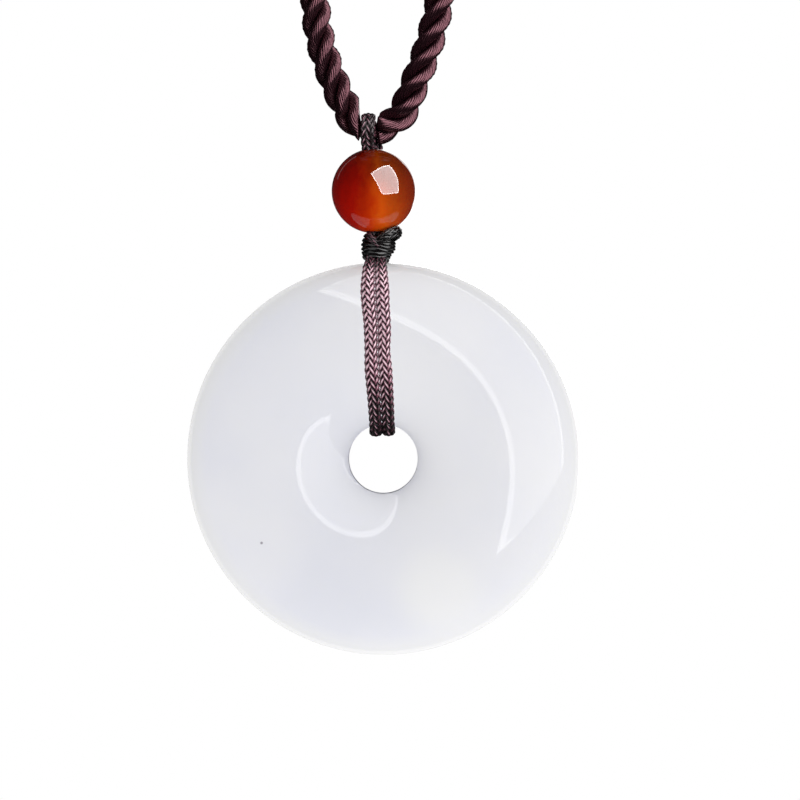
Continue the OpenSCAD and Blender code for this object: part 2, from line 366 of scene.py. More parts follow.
def floor_paint():
    """Matt pale paint: no gloss, a trace of the roller."""
    made, tree, shader = surface("pale_matt_paint", Roughness=0.9)
    place = add(tree, "ShaderNodeTexCoord")
    mottle = add(tree, "ShaderNodeTexNoise", {"Vector": place.outputs["Object"], "Scale": 40.0})
    tone = add(tree, "ShaderNodeValToRGB", {"Fac": mottle.outputs["Fac"]},
               stops=((0.3, "#f6f6f6"), (0.7, "#fafafa")))
    feed(tree, shader, Base_Color=tone.outputs["Color"])
    return made


# How much the middle of a yarn or bundle stands out among its streaks
RIDGE = 0.2


def filaments(tree, scale, roughness):
    """The cord's own map, in millimetres, and streaks that are drawn out along its yarns."""
    weave = add(tree, "ShaderNodeUVMap", uv_map="lay")
    stretch = add(tree, "ShaderNodeMapping", {"Vector": weave.outputs["UV"], "Scale": scale})
    streaks = add(tree, "ShaderNodeTexNoise", {"Vector": stretch.outputs[0], "Scale": 1.0,
                                               "Detail": 3.0, "Roughness": roughness})
    return weave.outputs["UV"], streaks.outputs["Fac"]


def ridges(tree, way, period, start, height):
    """Adds a wave to a height: one ridge in each period, and start is a share of a period."""
    turn = add(tree, "ShaderNodeMath", {0: way, 1: 2 * math.pi / period, 2: -2 * math.pi * start},
               operation="MULTIPLY_ADD")
    wave = add(tree, "ShaderNodeMath", {0: turn.outputs[0]}, operation="COSINE")
    high = add(tree, "ShaderNodeMath", {0: wave.outputs[0], 1: RIDGE, 2: height},
               operation="MULTIPLY_ADD")
    return high.outputs[0]


def twisted_nylon():
    """Nylon filament yarn, dyed dark maroon and twisted, with painted shade that makes it almost black
    between the yarns, and a narrow mauve band of sheen along each strand, streaked by the yarns."""
    made, tree, shader = surface(
        "twisted_nylon_filament", IOR=1.56, Specular_IOR_Level=1.0, Specular_Tint=srgb("#ffb0c0"))
    # Filaments lie along the yarn. Real ones are 0.05 mm and wouldn't show, so these are 0.2 mm
    weave, streaks = filaments(tree, (6, 0.55, 1), 0.65)
    ways = add(tree, "ShaderNodeSeparateXYZ", {0: weave})
    high = ridges(tree, ways.outputs["X"], 2 * math.pi * STRAND_R / YARNS, 0, streaks)
    # Painted shade: the colour is darkest in the grooves between the yarns
    tone = add(tree, "ShaderNodeValToRGB", {"Fac": high},
               stops=((0.35, "#020001"), (0.55, "#090305"), (0.8, "#1c0a10")))
    matt = add(tree, "ShaderNodeMapRange", {"Value": high, "From Min": 0.3, "From Max": 0.62,
                                            "To Min": 0.42, "To Max": 0.15})
    rise = add(tree, "ShaderNodeBump", {"Strength": 0.7, "Distance": 0.08 * MM, "Height": high})
    feed(tree, shader, Base_Color=tone.outputs["Color"], Roughness=matt.outputs[0],
         Normal=rise.outputs[0])
    return made


def binding_thread():
    """Waxed thread wound tight: dark maroon, a little duller than the rope."""
    made, tree, shader = surface(
        "waxed_binding_thread", Roughness=0.5, IOR=1.5, Specular_IOR_Level=0.5,
        Specular_Tint=srgb("#c79aa8"))
    # Filaments of 0.08 mm lie along the thread
    streaks = filaments(tree, (12, 1.5, 1), 0.5)[1]
    tone = add(tree, "ShaderNodeValToRGB", {"Fac": streaks},
               stops=((0.3, "#1b0c11"), (0.7, "#3a1d26")))
    rise = add(tree, "ShaderNodeBump", {"Strength": 0.5, "Distance": 0.03 * MM, "Height": streaks})
    feed(tree, shader, Base_Color=tone.outputs["Color"], Normal=rise.outputs[0])
    return made


def braided_nylon(name, colours, tint, rough, dull):
    """Nylon braid, waxed and pulled tight: each stitch is a short glossy oval of parallel filaments,
    dull where it dips under the next. Painted shade makes each dip almost black and the cord darker
    above the disc and at the disc's hole, and painted light makes each stitch's top pale."""
    made, tree, shader = surface(
        name, IOR=1.55, Specular_IOR_Level=0.55, Specular_Tint=srgb(tint))
    # Filaments of 0.07 mm lie along each bundle, which is high in its middle, and where it lies
    # over the next ones
    weave, streaks = filaments(tree, (14, 1.2, 1), 0.6)
    ways = add(tree, "ShaderNodeSeparateXYZ", {0: weave})
    high = ridges(tree, ways.outputs["X"], 2 * BUNDLE_W, 0.4, streaks)
    high = ridges(tree, ways.outputs["Y"], STITCH_PITCH / WEAVES, 0, high)
    # Shares of the way from the disc's middle up to the rope: painted shade darkens the cord in the
    # hole, leaves it over the disc's front, and darkens it again from the knot up
    place = add(tree, "ShaderNodeTexCoord")
    height = add(tree, "ShaderNodeSeparateXYZ", {0: place.outputs["Object"]})
    level = add(tree, "ShaderNodeMapRange", {
        "Value": height.outputs["Z"], "From Min": float(BEND_AT[2] + DISC_Z) * MM,
        "From Max": float(BEND_AT[2]) * MM})
    painted_shade = add(tree, "ShaderNodeValToRGB", {"Fac": level.outputs[0]},
               stops=((0.1, "#909090"), (0.27, "#000000"), (0.565, "#000000"), (0.6, "#909090")))
    high = add(tree, "ShaderNodeMath", {0: painted_shade.outputs["Color"], 1: -0.8, 2: high},
               operation="MULTIPLY_ADD").outputs[0]
    # Painted light and shade: the tone runs from almost black in each dip to pale on each stitch's top
    tone = add(tree, "ShaderNodeValToRGB", {"Fac": high},
               stops=tuple(zip((0.5, 0.6, 0.71, 0.86), colours)))
    matt = add(tree, "ShaderNodeMapRange", {"Value": high, "From Min": 0.45, "From Max": 0.75,
                                            "To Min": dull, "To Max": rough})
    rise = add(tree, "ShaderNodeBump", {"Strength": 0.5, "Distance": 0.02 * MM, "Height": streaks})
    feed(tree, shader, Base_Color=tone.outputs["Color"], Roughness=matt.outputs[0],
         Normal=rise.outputs[0])
    return made


# Places of the disc's dark speck and pale cloud, seen from the front, from the rope's bend
SPECK_FROM_BEND = (-12.9, 0, -48.7)
CLOUD_FROM_BEND = (8.1, 0, -54.4)


def milky_chalcedony():
    """Icy chalcedony, high polish: milky and translucent, light scatters a few millimetres deep."""
    made, tree, shader = surface(
        "polished_milky_chalcedony", Roughness=0.04, IOR=1.54, Subsurface_Weight=0.6,
        Subsurface_Radius=(1.0, 1.0, 1.05), Subsurface_Scale=4.0 * MM, Specular_IOR_Level=0.5)
    place = add(tree, "ShaderNodeTexCoord")
    # Clouds of 18 mm
    cloud = add(tree, "ShaderNodeTexNoise",
                {"Vector": place.outputs["Object"], "Scale": 55.0, "Detail": 2.5})
    tone = add(tree, "ShaderNodeValToRGB", {"Fac": cloud.outputs["Fac"]},
               stops=((0.3, "#ecedf4"), (0.7, "#f4f4fa")))
    # The thin rim is painted less violet than the middle over 2.4 mm: painted light, for the white
    # light it reflects and lets through
    middle = add(tree, "ShaderNodeMapping",
                 {"Vector": place.outputs["Object"], "Location": -metres(DISC_AT)})
    flat = add(tree, "ShaderNodeVectorMath", {0: middle.outputs[0], 1: (1, 0, 1)},
               operation="MULTIPLY")
    far = add(tree, "ShaderNodeVectorMath", {0: flat.outputs[0]}, operation="LENGTH")
    rim = add(tree, "ShaderNodeMapRange",
              {"Value": far.outputs["Value"], "From Min": (DISC_D / 2 - 2.4) * MM,
               "From Max": DISC_D / 2 * MM})
    # A dark inclusion, 0.3 mm wide
    speck_at = metres(BEND_AT + SPECK_FROM_BEND) * Vector((1, 0, 1))
    upright = add(tree, "ShaderNodeVectorMath", {0: place.outputs["Object"], 1: (1, 0, 1)},
                  operation="MULTIPLY")
    gap = add(tree, "ShaderNodeVectorMath", {0: upright.outputs[0], 1: speck_at},
              operation="DISTANCE")
    speck = add(tree, "ShaderNodeMapRange",
                {"Value": gap.outputs["Value"], "From Min": 0.1 * MM, "From Max": 0.2 * MM})
    rim_painted_light = add(tree, "ShaderNodeMix", {0: rim.outputs[0], 6: tone.outputs["Color"],
                                         7: srgb("#f2f2f2")}, data_type="RGBA")
    # A paler cloud low on the right, which ends 7 mm from its middle
    cloud_at = metres(BEND_AT + CLOUD_FROM_BEND) * Vector((1, 0, 1))
    beside = add(tree, "ShaderNodeVectorMath", {0: upright.outputs[0], 1: cloud_at},
                 operation="DISTANCE")
    pale = add(tree, "ShaderNodeMapRange", {
        "Value": beside.outputs["Value"], "From Min": 1 * MM, "From Max": 7 * MM, "To Min": 0.7,
        "To Max": 0.0}, interpolation_type="SMOOTHSTEP")
    clouded = add(tree, "ShaderNodeMix", {0: pale.outputs[0], 6: rim_painted_light.outputs[2],
                                          7: srgb("#fbfbfd")}, data_type="RGBA")
    specked = add(tree, "ShaderNodeMix", {0: speck.outputs[0], 6: srgb("#a9a6ae"),
                                          7: clouded.outputs[2]}, data_type="RGBA")
    feed(tree, shader, Base_Color=specked.outputs[2])
    return made


def polished_carnelian():
    """Carnelian, polished: clear deep red on its left, brown red on its right, in soft clouds, with a
    painted glow of orange through its middle where light gathers."""
    made, tree, shader = surface(
        "polished_carnelian", Roughness=0.04, IOR=1.54, Subsurface_Weight=0.35,
        Subsurface_Radius=(1.0, 0.25, 0.08), Subsurface_Scale=0.8 * MM, Specular_IOR_Level=0.4)
    place = add(tree, "ShaderNodeTexCoord")
    middle = add(tree, "ShaderNodeMapping", {"Vector": place.outputs["Object"],
                                             "Location": -metres(hung([0, 0, BEAD_Z]))})
    # Clouds of 3 mm, drawn out along the hole
    drawn = add(tree, "ShaderNodeMapping", {"Vector": middle.outputs[0], "Scale": (330, 330, 170)})
    cloud = add(tree, "ShaderNodeTexNoise", {"Vector": drawn.outputs[0], "Scale": 1.0,
                                             "Detail": 5.0, "Roughness": 0.6})
    ways = add(tree, "ShaderNodeSeparateXYZ", {0: middle.outputs[0]})
    edge = BEAD_D / 2 * MM
    # Across the bead, in clouds: deep red on the left, a painted glow of orange in the middle, brown
    # red on the right
    across = add(tree, "ShaderNodeMapRange", {"Value": ways.outputs["X"], "From Min": -edge,
                                              "From Max": edge, "To Min": -0.2, "To Max": 0.8})
    tone_and_glow = add(tree, "ShaderNodeMath", {0: cloud.outputs["Fac"], 1: 0.4, 2: across.outputs[0]},
               operation="MULTIPLY_ADD")
    tone = add(tree, "ShaderNodeValToRGB", {"Fac": tone_and_glow.outputs[0]},
               stops=((0.05, "#820501"), (0.28, "#940d02"), (0.44, "#ac2c02"), (0.57, "#bd4a08"),
                      (0.7, "#a8400c"), (0.95, "#88290d")))
    # Darker towards the top, lit through from below
    height = add(tree, "ShaderNodeMapRange", {"Value": ways.outputs["Z"], "From Min": -edge,
                                              "From Max": edge, "To Min": 0.25, "To Max": -0.35})
    shade = add(tree, "ShaderNodeMath", {0: cloud.outputs["Color"], 1: 0.7, 2: height.outputs[0]},
                operation="MULTIPLY_ADD")
    depth = add(tree, "ShaderNodeValToRGB", {"Fac": shade.outputs[0]},
                stops=((0.0, "#8a8080"), (0.3, "#dcdcdc"), (0.6, "#ffffff")))
    toned = add(tree, "ShaderNodeMix", {0: 1.0, 6: tone.outputs["Color"],
                                        7: depth.outputs["Color"]},
                data_type="RGBA", blend_type="MULTIPLY")
    feed(tree, shader, Base_Color=toned.outputs[2])
    return made


# Routes and tubes

# The way between the points of a cord's route, before it gets its stations
ROUTE_GAP = 0.05


def smooth_route(points, gap=ROUTE_GAP):
    """The smooth curve that the CAD source uses, through every point but the first and the last."""
    points = np.array(points, float)
    found = []
    for a, b, c, d in zip(points, points[1:], points[2:], points[3:]):
        steps = math.ceil(np.linalg.norm((c - b)[:3]) / gap)
        t = np.arange(steps)[:, None] / steps
        found.append(0.5 * (2 * b + (c - a) * t + (2 * a - 5 * b + 4 * c - d) * t ** 2
                            + (3 * b - a - 3 * c + d) * t ** 3))
    return np.concatenate(found + [points[-2:-1]])


def even(route, gap):
    """The route with stations an equal way apart, and each station's distance along it."""
    ways = np.linalg.norm(np.diff(route[:, :3], axis=0), axis=1)
    along = np.concatenate([[0], np.cumsum(ways)])
    stations = np.linspace(0, along[-1], math.ceil(along[-1] / gap) + 1)
    return np.stack([np.interp(stations, along, column) for column in route.T], 1), stations


def steady_frames(route, first_side):
    """Directions ahead, to the side and up at each station, which twist no more than they must."""
    ahead = unit(np.gradient(route, axis=0))
    side = np.empty_like(ahead)
    kept = np.array(first_side, float)
    for i, way in enumerate(ahead):
        kept = kept - way * (kept @ way)
        kept /= np.linalg.norm(kept)
        side[i] = kept
    return ahead, side, np.cross(ahead, side)


def ring_points(centres, side, up, across, high):
    """Rings round the centres. across and high are each ring's points along side and up."""
    return (centres[:, None] + side[:, None] * across[..., None]
            + up[:, None] * high[..., None])


def tube_faces(n, m, along, girth):
    """The faces of a closed tube: n rings of m points each, then the two ends' middles. Gives their
    corners, their sizes and their map."""
    i, k = np.meshgrid(np.arange(n - 1), np.arange(m), indexing="ij")
    after = (k + 1) % m
    quads = np.stack([i * m + k, i * m + after, (i + 1) * m + after, (i + 1) * m + k], -1)
    u = np.stack([k, k + 1, k + 1, k], -1) / m * girth
    v = np.stack([along[i], along[i], along[i + 1], along[i + 1]], -1)
    turn = np.arange(m)
    last = (n - 1) * m
    start = np.stack([np.full(m, n * m), (turn + 1) % m, turn], -1)
    end = np.stack([np.full(m, n * m + 1), last + turn, last + (turn + 1) % m], -1)
    corners = np.concatenate([quads.ravel(), start.ravel(), end.ravel()])
    sizes = np.concatenate([np.full(quads.size // 4, 4), np.full(2 * m, 3)])
    maps = np.concatenate([np.stack([u, v], -1).reshape(-1, 2), np.zeros((6 * m, 2))])
    return corners, sizes, maps


def tubes(name, parts, material, body, nodes):
    """One piece from closed tubes. Each part has its rings, each station's distance along and the
    girth. The piece's map gives millimetres round and along each tube."""
    spots = []
    faces = []
    first = 0
    for rings, along, girth in parts:
        n, m = rings.shape[:2]
        spots += [rings.reshape(-1, 3), rings[[0, -1]].mean(1)]
        corners, sizes, maps = tube_faces(n, m, along, girth)
        faces.append((first + corners, sizes, maps))
        first += n * m + 2
    spots = np.concatenate(spots) * MM
    corners, sizes, maps = (np.concatenate(column) for column in zip(*faces))
    mesh = bpy.data.meshes.new(name)
    mesh.vertices.add(len(spots))
    mesh.vertices.foreach_set("co", spots.ravel())
    mesh.loops.add(len(corners))
    mesh.loops.foreach_set("vertex_index", corners)
    mesh.polygons.add(len(sizes))
    mesh.polygons.foreach_set("loop_start", np.cumsum(sizes) - sizes)
    mesh.uv_layers.new(name="lay").uv.foreach_set("vector", maps.ravel())
    mesh.update(calc_edges=True)
    mesh.shade_smooth()
    piece = bpy.data.objects.new(name, mesh)
    bpy.context.scene.collection.objects.link(piece)
    mesh.materials.append(material)
    belongs(piece, body, nodes)
    return piece


def belongs(piece, body, nodes):
    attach(piece, body)
    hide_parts(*nodes)


# Neck rope

# One turn of the strands, on the left and on the right of the bend, and their turn at the bend
LAY_LEFT = 8.8
LAY_RIGHT = 9.3
TURN_LEFT = 1.14
TURN_RIGHT = 0.39
# The ways between the stations along the rope, and within BEND_NEAR of its bend
ROPE_GAP = 0.5
BEND_GAP = 0.1
BEND_NEAR = 9
# A strand's radius, how flat it is pressed, and its middle's distance from the rope's
STRANDS = 3
STRAND_R = 0.82
STRAND_FLAT = 0.86
STRAND_OUT = 0.97
# The yarns of a strand, the points round each, and how far a yarn stands out
YARNS = 16
YARN_POINTS = 3
YARN_RISE = 0.055


def rope_route():
    """The rope's centre from its left end at the join, round the bend, to its right end, with its
    girth as a share of the full one, and each station's distance from the bend along the rope."""
    legs = []
    for side, rows in ((-1, BEND_LEFT), (1, BEND_RIGHT)):
        leg = [(side * ROPE_D * out, 0, ROPE_D * up, girth) for out, up, girth in rows]
        leg += [(side * out * LOOP_W / 2, back * LOOP_DEPTH, up * LOOP_DROP, 1)
                for out, back, up in LEG_TABLE]
        leg.append((side * (JOIN_L / 2 + TOUCH), LOOP_DEPTH, LOOP_DROP, 1))
        legs.append(leg)
    inside = (0, LOOP_DEPTH, LOOP_DROP, 1)
    out, up, girth = BEND_MIDDLE
    middle = (ROPE_D * out, 0, ROPE_D * up, girth)
    route = smooth_route([inside] + legs[0][::-1] + [middle] + legs[1] + [inside], BEND_GAP)
    ways = np.linalg.norm(np.diff(route[:, :3], axis=0), axis=1)
    along = np.concatenate([[0], np.cumsum(ways)])
    bend = along[np.argmin(np.linalg.norm(route[:, :3] - middle[:3], axis=1))]
    stations = np.concatenate([np.arange(0, bend - BEND_NEAR, ROPE_GAP),
                               np.arange(bend - BEND_NEAR, bend + BEND_NEAR, BEND_GAP),
                               np.arange(bend + BEND_NEAR, along[-1], ROPE_GAP), along[-1:]])
    route = np.stack([np.interp(stations, along, column) for column in route.T], 1)
    return route, stations - bend


def smooth_step(share):
    share = np.clip(share, 0, 1)
    return share * share * (3 - 2 * share)


def loop_lean(turn):
    """How far the loop leans to the right at turn, in degrees round the rope from its back over its
    top to its front."""
    behind = smooth_step((LEAN_FROM - turn) / LEAN_OVER)
    ahead = smooth_step((turn - (180 - LEAN_FROM)) / LEAN_OVER)
    return LOOP_SLANT * (behind - ahead)


def pressed(points):
    """Presses the rope in where the cord loop lies on it: a channel round the axis of the bend, just
    as wide at each place as the leaning loop is there when it swings to the front or the back. The
    rope swells beside it, most of all below."""
    reach = np.maximum(np.linalg.norm(points[..., 1:], axis=-1, keepdims=True), 1e-6)
    across = points[..., :1] + LOOP_SIDE
    toward = np.where(across > 0, 1, -1) * points[..., 1:2] / reach
    above = smooth_step((LEAN_FROM + np.degrees(np.arcsin(toward))) / LEAN_OVER)
    below = np.clip((1 + toward) / CHANNEL_CLOSE, 0, 1)
    sweep = np.where(points[..., 2:] > 0, above, below)
    flare = CHANNEL_FLARE * np.where(across > 0, np.clip(toward, 0, 1), 0) * (reach - WAIST_R)
    inner = (CORD_W * LOOP_SPREAD / 2 + CHANNEL_SPARE + LOOP_SLANT * sweep + flare
             - np.abs(across))
    depth = smooth_step(inner / CHANNEL_WALL + 0.5)
    near = reach < 2 * ROPE_D
    swell = np.where(across < 0, SWELL_LEFT, SWELL_RIGHT) * (0.5 - 0.5 * points[..., 2:] / reach)
    swell = 1 + np.where(near, swell * np.exp(-(inner / SWELL_REACH) ** 2), 0)
    squeezed = SQUEEZE_TO * WAIST_R * (1 - np.exp(-SQUEEZE_RATE * reach / WAIST_R))
    pulled = reach * swell + (squeezed - reach * swell) * np.where(near, depth, 0)
    return np.concatenate([points[..., :1], points[..., 1:] * pulled / reach], -1)


def rope_strands():
    """Three strands laid right-handed. Their yarns turn back as much, so they lie along the rope."""
    route, along = rope_route()
    centre, girth = route[:, :3], route[:, 3:]
    ahead, side, up = steady_frames(centre, (0, 0, 1))
    nylon = twisted_nylon()
    bend = np.argmin(np.abs(along))
    upright = math.atan2(up[bend, 2], side[bend, 2])
    # The loop hides where the two sides' turns meet
    share = np.clip(along / CORD_W + 0.5, 0, 1)
    lay = np.where(along < 0, LAY_LEFT, LAY_RIGHT)
    turned = upright + (2 * math.pi * along / lay + TURN_LEFT + (TURN_RIGHT - TURN_LEFT) * share)
    pace = 2 * math.pi / lay[:, None]
    columns = np.arange(YARN_POINTS * YARNS)
    reach = STRAND_R + YARN_RISE * np.where(columns % YARN_POINTS, -0.5, 1)
    for j in range(STRANDS):
        turn = (turned + 2 * math.pi * j / STRANDS)[:, None]
        out = np.cos(turn) * side + np.sin(turn) * up
        round_way = np.cos(turn) * up - np.sin(turn) * side
        middle = centre + STRAND_OUT * girth * out
        way = unit(ahead + STRAND_OUT * girth * pace * round_way)
        across = unit(side - way * (side * way).sum(1, keepdims=True))
        high = np.cross(way, across)
        angle = math.tau * columns / len(columns) - STRAND_OUT / STRAND_R * turned[:, None]
        away = (girth * reach * np.cos(angle))[..., None] * across[:, None]
        away += (girth * reach * np.sin(angle))[..., None] * high[:, None]
        # The strands press each other a little flat
        flat = np.cross(way, out)[:, None]
        away -= (1 - STRAND_FLAT) * (away * flat).sum(-1, keepdims=True) * flat
        rings = middle[:, None] + away
        tubes(f"rope_strand_{j + 1}", [(pressed(rings) + BEND_AT, along, 2 * math.pi * STRAND_R)],
              nylon, "neck_cord", ["neck_rope"])


# Binding round the rope's join

THREAD_R = 0.225
THREAD_SIDES = 10
TURN_STEPS = 36
# Bare length at each end, and how far the thread drops over its first and last part
END_BARE = 0.2
END_DROP = 0.25
END_PART = 1 / 14
# The core's outline: place as a share of the join's length, reach as a share of its radius
JOIN_CORE = ((-0.5, 0.72), (-0.485, 0.80), (-0.46, 0.86), (0.46, 0.86), (0.485, 0.80), (0.5, 0.72))
CORE_SIDES = 48


def rope_binding():
    """One thread wound round the two ends, over a core that its turns hide."""
    turns = round((JOIN_L - 2 * END_BARE) / (2 * THREAD_R))
    share = np.linspace(0, 1, turns * TURN_STEPS + 1)
    angle = 2 * math.pi * turns * share
    drop = np.maximum(0, 1 - np.minimum(share, 1 - share) / END_PART) ** 2
    radius = JOIN_D / 2 - THREAD_R - END_DROP * drop
    middle = np.array([0, JOIN_D / 2, 0])
    x = (share - 0.5) * (JOIN_L - 2 * THREAD_R)
    route = middle + np.stack([x, radius * np.cos(angle), radius * np.sin(angle)], 1)
    side, up = steady_frames(route, (1, 0, 0))[1:]
    turn = np.arange(THREAD_SIDES) * 2 * math.pi / THREAD_SIDES
    thread = ring_points(route, side, up, THREAD_R * np.cos(turn), THREAD_R * np.sin(turn))
    place, reach = np.array(JOIN_CORE).T
    spin = np.arange(CORE_SIDES) * 2 * math.pi / CORE_SIDES
    core_middle = middle + np.stack([place * JOIN_L, 0 * place, 0 * place], 1)
    core = core_middle[:, None] + (JOIN_D / 2) * reach[:, None, None] * np.stack(
        [0 * spin, np.cos(spin), np.sin(spin)], -1)
    parts = [(thread, radius.mean() * angle, 2 * math.pi * THREAD_R),
             (core, place * JOIN_L, math.pi * JOIN_D)]
    tubes("join_binding", parts, binding_thread(), "neck_cord", ["rope_join"])


# Braided cords

# A bundle goes once round the cord in STITCH_PITCH, and over and under the others WEAVES times
BUNDLES = 16
WEAVES = BUNDLES // 4
STITCH_PITCH = 6.8
BRAID_GAP = 0.2
# Half a bundle's width and thickness, and how far it rises over the next ones
BUNDLE_W = 0.175
BUNDLE_T = 0.125
BUNDLE_SIDES = 10
OVER = 0.1
# The bundles' first turn, in radians, puts one column of stitches in the middle of each face
COLUMN_START = 0.98
KNOT_START = 0.3


def braid(route, half_w, half_t, first_side, start=COLUMN_START):
    """Sixteen flat bundles of yarn in a tube that is pulled flat, each over two and under two, so the
    stitches lie in columns. The route is the cord's middle with its scale, and the width lies along
    the first side direction."""
    stations, along = even(route, BRAID_GAP)
    centre, scale = stations[:, :3], stations[:, 3:]
    ahead = unit(np.gradient(centre, axis=0))
    side = np.broadcast_to(first_side, ahead.shape)
    side = unit(side - ahead * (side * ahead).sum(1, keepdims=True))
    up = np.cross(ahead, side)
    mid_w = half_w - OVER - BUNDLE_T
    mid_t = half_t - OVER - BUNDLE_T
    turn = (np.arange(BUNDLE_SIDES) + 0.5) * 2 * math.pi / BUNDLE_SIDES
    wide = BUNDLE_W * np.cos(turn)
    thick = BUNDLE_T * np.sin(turn)
    parts = []
    for way in (1, -1):
        for k in range(BUNDLES // 2):
            angle = (way * 2 * math.pi * along / STITCH_PITCH + k * 4 * math.pi / BUNDLES
                     + start)[:, None]
            lean = unit(np.concatenate([np.cos(angle) / mid_w, np.sin(angle) / mid_t], 1))
            weave = WEAVES * (angle - start) + math.pi / 4
            lift = way * OVER * np.cos(weave)
            at_w = mid_w * np.cos(angle) + lift * lean[:, :1]
            at_t = mid_t * np.sin(angle) + lift * lean[:, 1:]
            middle = centre + scale * (at_w * side + at_t * up)
            out = lean[:, :1] * side + lean[:, 1:] * up
            line = unit(np.gradient(middle, axis=0))
            flat = unit(np.cross(line, out))
            rise = np.cross(flat, line)
            rings = ring_points(middle, -flat, rise, scale * wide, scale * thick)
            ups = (weave[:, 0] + (0 if way > 0 else math.pi)) / (2 * math.pi)
            parts.append((rings, ups * STITCH_PITCH / WEAVES, 4 * BUNDLE_W))
    return parts


# How the strands lie in front of the disc: height above its middle, shift to the side, and width
STRAND_SWAY = ((4.8, 0, 0.99), (7.6, -0.06, 1.03), (10.5, -0.18, 1.08), (13.3, -0.24, 0.98),
               (14.7, -0.14, 1.05), (16.9, -0.16, 1.07), (18.3, -0.27, 1.10), (20.0, -0.28, 1.13),
               (21.3, -0.26, 1.04), (22.5, -0.2, 0.96), (23.3, -0.06, 0.84), (24.4, 0, 0.78))
# The two strands press into each other's sides
NESTLE = 0.1
# Their width at the knot, as a share of the full one, and what each degree round the rim adds
PINCH = 0.85
WIDEN = 0.004


def disc_section(reach, turn, far):
    """A point set off by far from the disc's section: distance from the axis and from the middle."""
    half_t = DISC_T / 2
    out = unit(np.array([math.cos(turn) / reach, math.sin(turn) / half_t]))
    return np.array([CREST_D / 2 + reach * math.cos(turn), half_t * math.sin(turn)]) + far * out


def disc_strand_route(side):
    """A strand's way from the knot over the disc's rim, down its front, through its hole and up its
    back, as the CAD source has it, but with the sway in front."""
    outer = (DISC_D - CREST_D) / 2
    inner = (CREST_D / 2 - HOLE_D / 2) / math.sqrt(1 - (HOLE_WALL / DISC_T) ** 2)
    far = CORD_GAP + CORD_T / 2
    edge_turn = math.pi - math.asin(HOLE_WALL / DISC_T)
    edge = disc_section(inner, edge_turn, 0)
    edge_out = disc_section(inner, edge_turn, 1) - edge
    edge_lean = math.atan2(edge_out[1], -edge_out[0])
    rows = [(DISC_D / 2 + KNOT_RISE + TUCK, CORD_T / 2 + TOUCH, PINCH)]
    for turn in (10, 15, 20, 26, 33, 41, 50, 60, 70, 80, 90):
        rows.append((*disc_section(outer, math.radians(turn), far), min(1, PINCH + turn * WIDEN)))
    for k in range(1, 7):
        turn = math.pi / 2 + (edge_turn - math.pi / 2) * k / 6
        rows.append((*disc_section(inner, turn, far), 1))
    for k in (1, 2):
        lean = edge_lean * (1 - k / 2)
        rows.append((HOLE_D / 2 - far * math.cos(lean), edge[1] + far * math.sin(lean), 1))
    rows.append((HOLE_D / 2 - far, 0, 1))
    front = []
    back = []
    above, shifts, widths = zip(*STRAND_SWAY)
    # The heights fit the round disc at this distance to the side
    fit_x = 0.75 * CORD_W
    for r, away, scale in rows:
        up = math.sqrt(r ** 2 - fit_x ** 2)
        shift, width = np.interp(up, above, shifts), np.interp(up, above, widths)
        front.append((side * (CORD_W * width - NESTLE) / 2 + shift, -away, up + DISC_Z, width))
        back.append((side * (CORD_W * scale - NESTLE) / 2, away, up + DISC_Z, scale))
    points = front + back[-2::-1]
    route = smooth_route([points[0], *points, points[-1]])
    route[:, :3] = hung(route[:, :3])
    return route


def disc_cords():
    """The two strands round the disc. Gives their finish, which the loop shares."""
    # Colours from the dips' painted shade to the stitch tops' painted light
    nylon = braided_nylon("braided_waxed_nylon", ("#020001", "#0e0206", "#6f4150", "#b098a0"),
                          "#ffeef2", 0.17, 0.42)
    for node, side in (("disc_cord_left", -1), ("disc_cord_right", 1)):
        parts = braid(disc_strand_route(side), CORD_W / 2, CORD_T / 2, HANG_ACROSS)
        piece = tubes(node + "_braid", parts, nylon, "hanger", [node])
        # The photo's soft light leaves no shade on the disc beside them
        piece.visible_diffuse = False
    return nylon


def bead_cord(nylon):
    """The loop over the rope and its two strands, down through the bead into the knot."""
    strand_y = LOOP_T / 2 + TOUCH
    bore_top = BEAD_Z + BEAD_D / 2
    up = [(LOOP_SHIFT, strand_y, KNOT_TOP - TUCK, 1), (LOOP_SHIFT, strand_y, BEAD_Z, 1),
          (LOOP_SHIFT, strand_y, bore_top - LOOP_T, 1),
          (1.2 * LOOP_SHIFT, 1.08 * strand_y, bore_top - 0.45 * LOOP_T, 1),
          (1.7 * LOOP_SHIFT, 1.45 * strand_y, bore_top, 1.1)]
    over = [(loop_lean(a) - LOOP_SIDE, LOOP_R * math.cos(math.radians(a)),
             LOOP_R * math.sin(math.radians(a)), LOOP_SPREAD) for a in range(-40, 221, 20)]
    down = [(-x, -y, z, scale) for x, y, z, scale in up[::-1]]
    points = up + over + down
    route = smooth_route([points[0], *points, points[-1]])
    route[:, :3] = hung(route[:, :3])
    parts = braid(route, CORD_W / 2, LOOP_T / 2, HANG_ACROSS)
    tubes("bead_cord_braid", parts, nylon, "hanger", ["bead_cord"])


# Knot

# Its thread, which is wound round a core from top to bottom
KNOT_THREAD_R = 0.25
KNOT_TURNS = 6
KNOT_STEPS = 12
KNOT_SIDES = 12
# The ways between the points of its route and between its stations
KNOT_ROUTE_GAP = 0.04
KNOT_GAP = 0.12
# The thread's plies, and their turn in radians a millimetre
PLIES = 3
PLY_RISE = 0.15
PLY_TURN = 3.6
# Where the winding starts below the knot's top, its height, and the slant of its first and last turn
WIND_DROP = 0.55
WIND_H = 2.5
SLANT_TOP = 0.6
SLANT_END = 0.08
